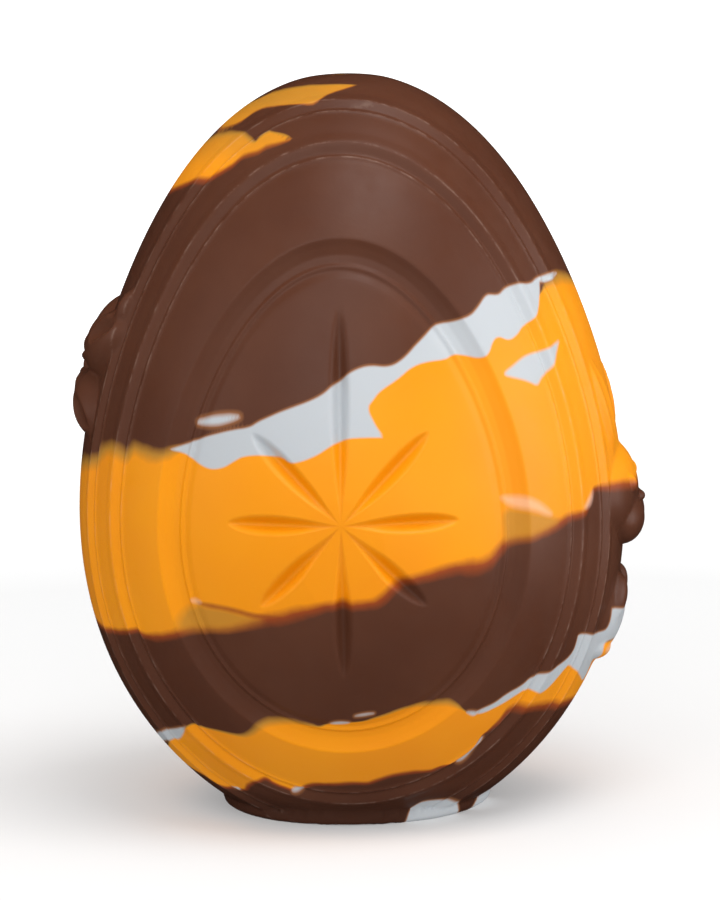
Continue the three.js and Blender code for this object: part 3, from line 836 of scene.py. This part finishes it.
def layer_colour(nodes):
    """Colour of the marbled layers, each laid over the one before, with painted shade darkening the brown at
    the foot and pale crests that are partly a painted highlight.
    """
    ragged = nodes.spread(nodes.noise(*EDGE_NOISE), *NOISE_RANGE, -EDGE_RAGGEDNESS, EDGE_RAGGEDNESS)
    brown = nodes.mix(nodes.spread(nodes.noise(*BROWN_CLOUDS), *CLOUD_RANGE, 0, 1), BROWN, DARK_BROWN)
    # Painted shade: the brown darkens towards the foot
    low = nodes.spread(nodes.attribute("height"), *PAINTED_FOOT_SHADE_HEIGHTS, 0, PAINTED_FOOT_SHADE_SHARE)
    brown = nodes.mix(low, brown, PAINTED_FOOT_SHADE_BROWN)
    orange = nodes.mix(nodes.spread(nodes.noise(*ORANGE_CLOUDS), *CLOUD_RANGE, 0, 1), ORANGE, DEEP_ORANGE)
    edge = nodes.mix(nodes.attribute("low_edge"), OLIVE_GOLD, RUST)
    inside_orange = share_inside(nodes, "band", ragged)
    warm = faded_edge(nodes, inside_orange, brown, edge, orange)
    faded = nodes.math("MULTIPLY", share_inside(nodes, "faded", ragged), inside_orange)
    warm = nodes.mix(nodes.math("MULTIPLY", faded, FADED_SHARE), warm, OLIVE_GOLD)
    streak = share_inside(nodes, "streak", ragged)
    warm = nodes.mix(nodes.math("MULTIPLY", streak, STREAK_SHARE), warm, RUST)
    near_white = nodes.spread(nodes.attribute("white"), -FRINGE_REACH, 0, 0, FRINGE_SHARE)
    outside_orange = nodes.spread(inside_orange, 0, 1, 1, 0)
    warm = nodes.mix(nodes.math("MULTIPLY", near_white, outside_orange), warm, FRINGE)
    pale = share_inside(nodes, "pale", ragged)
    warm = nodes.mix(nodes.math("MULTIPLY", pale, PALE_SHARE), warm, PALE)
    # Pale crests and beads: rubbed colour and scuffs, partly a painted highlight along the edges
    broken = nodes.spread(nodes.noise(*WEAR_AND_HIGHLIGHT_NOISE), *WEAR_AND_HIGHLIGHT_RANGE, 0, WEAR_AND_HIGHLIGHT_SHARE)
    worn_and_highlit = nodes.math("MULTIPLY", nodes.math("POWER", nodes.attribute("wear_and_highlight"), WEAR_AND_HIGHLIGHT_FALL_OFF), broken)
    warm = nodes.mix(worn_and_highlit, warm, PALE)
    return nodes.mix(share_inside(nodes, "white", ragged), warm, WHITE)


def chocolate_material():
    nodes = Nodes("marbled_chocolate")
    inputs = nodes.shader.inputs
    nodes.link(layer_colour(nodes), inputs["Base Color"])
    sheen = nodes.spread(nodes.noise(*SHEEN_NOISE), *NOISE_RANGE, *ROUGHNESS_RANGE)
    nodes.link(sheen, inputs["Roughness"])
    bump = nodes.add("ShaderNodeBump")
    bump.inputs["Strength"].default_value = GRAIN_STRENGTH
    bump.inputs["Distance"].default_value = GRAIN_HEIGHT
    nodes.link(nodes.noise(*GRAIN_NOISE), bump.inputs["Height"])
    nodes.link(bump.outputs["Normal"], inputs["Normal"])
    inputs["Subsurface Weight"].default_value = SUBSURFACE_WEIGHT
    inputs["Subsurface Radius"].default_value = SUBSURFACE_RADIUS
    inputs["Subsurface Scale"].default_value = SUBSURFACE_SCALE
    inputs["IOR"].default_value = REFRACTION
    inputs["Specular IOR Level"].default_value = SPECULAR_LEVEL
    return nodes.material


def stage_ring(height):
    """Corners of the studio's round edge at a height."""
    turns = [2 * math.pi * side / FLOOR_SIDES for side in range(FLOOR_SIDES)]
    return [(FLOOR_RADIUS * math.cos(turn), FLOOR_RADIUS * math.sin(turn), height) for turn in turns]


def stage_piece(name, corners, faces, reflectance):
    """A plain piece of the studio that shows to the camera and lights nothing, and its nodes."""
    mesh = bpy.data.meshes.new(name)
    mesh.from_pydata(corners, [], faces)
    piece = bpy.data.objects.new(name, mesh)
    bpy.context.scene.collection.objects.link(piece)
    piece.visible_diffuse = False
    piece.visible_glossy = False
    nodes = Nodes(name)
    nodes.shader.inputs["Base Color"].default_value = (reflectance, reflectance, reflectance, 1)
    nodes.shader.inputs["Roughness"].default_value = 1.0
    nodes.shader.inputs["Specular IOR Level"].default_value = 0.0
    nodes.shader.inputs["Emission Color"].default_value = (1, 1, 1, 1)
    mesh.materials.append(nodes.material)
    return piece, nodes


def make_studio():
    """A pale floor and a round white backdrop, far enough out for every view."""
    _, nodes = stage_piece("floor", stage_ring(0.0), [tuple(range(FLOOR_SIDES))], FLOOR_WHITE)
    reach = nodes.add("ShaderNodeVectorMath", operation="LENGTH")
    nodes.link(nodes.add("ShaderNodeTexCoord").outputs["Object"], reach.inputs[0])
    glow = nodes.spread(reach.outputs["Value"], *GLOW_RADII, FLOOR_GLOW, FAR_FLOOR_GLOW)
    nodes.link(glow, nodes.shader.inputs["Emission Strength"])
    walls = []
    for side in range(FLOOR_SIDES):
        following = (side + 1) % FLOOR_SIDES
        walls.append((side, following, following + FLOOR_SIDES, side + FLOOR_SIDES))
    rings = stage_ring(-BACKDROP_SINK) + stage_ring(BACKDROP_HEIGHT)
    backdrop, nodes = stage_piece("backdrop", rings, walls, 0.0)
    nodes.shader.inputs["Emission Strength"].default_value = BACKDROP_GLOW
    backdrop.visible_shadow = False


def make_camera():
    azimuth, elevation = math.radians(CAMERA_AZIMUTH), math.radians(CAMERA_ELEVATION)
    level_back = Vector((math.sin(azimuth), -math.cos(azimuth), 0))
    back = level_back * math.cos(elevation) + Vector((0, 0, math.sin(elevation)))
    data = bpy.data.cameras.new("camera")
    data.lens = CAMERA_LENS
    data.sensor_width = CAMERA_SENSOR
    data.shift_x, data.shift_y = CAMERA_SHIFT
    data.clip_start, data.clip_end = CAMERA_CLIP
    camera = bpy.data.objects.new("camera", data)
    bpy.context.scene.collection.objects.link(camera)
    roll = Matrix.Rotation(math.radians(-CAMERA_ROLL), 4, "Z")
    aim = back.to_track_quat("Z", "Y").to_matrix().to_4x4()
    camera.matrix_world = Matrix.Translation(Vector(CAMERA_TARGET) + back * CAMERA_DISTANCE) @ aim @ roll
    bpy.context.scene.camera = camera


def area_light(name, place, size, power):
    data = bpy.data.lights.new(name, "AREA")
    data.shape = "RECTANGLE"
    data.size, data.size_y = size
    data.energy = power
    light = bpy.data.objects.new(name, data)
    bpy.context.scene.collection.objects.link(light)
    place = Vector(place)
    aim = (Vector(CAMERA_TARGET) - place).to_track_quat("-Z", "Y").to_matrix().to_4x4()
    light.matrix_world = Matrix.Translation(place) @ aim


def make_light():
    world = bpy.data.worlds.new("studio")
    bpy.context.scene.world = world
    world.use_nodes = True
    world.node_tree.nodes["Background"].inputs["Color"].default_value = (1, 1, 1, 1)
    world.node_tree.nodes["Background"].inputs["Strength"].default_value = WORLD_LIGHT
    world.cycles_visibility.glossy = False
    for light in SOFTBOXES:
        area_light(*light)
    bpy.context.scene.view_settings.view_transform = "Standard"


def main():
    egg = make_egg()
    egg.data.materials.append(chocolate_material())
    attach(egg, "root")
    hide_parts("egg")
    make_studio()
    make_camera()
    make_light()


main()
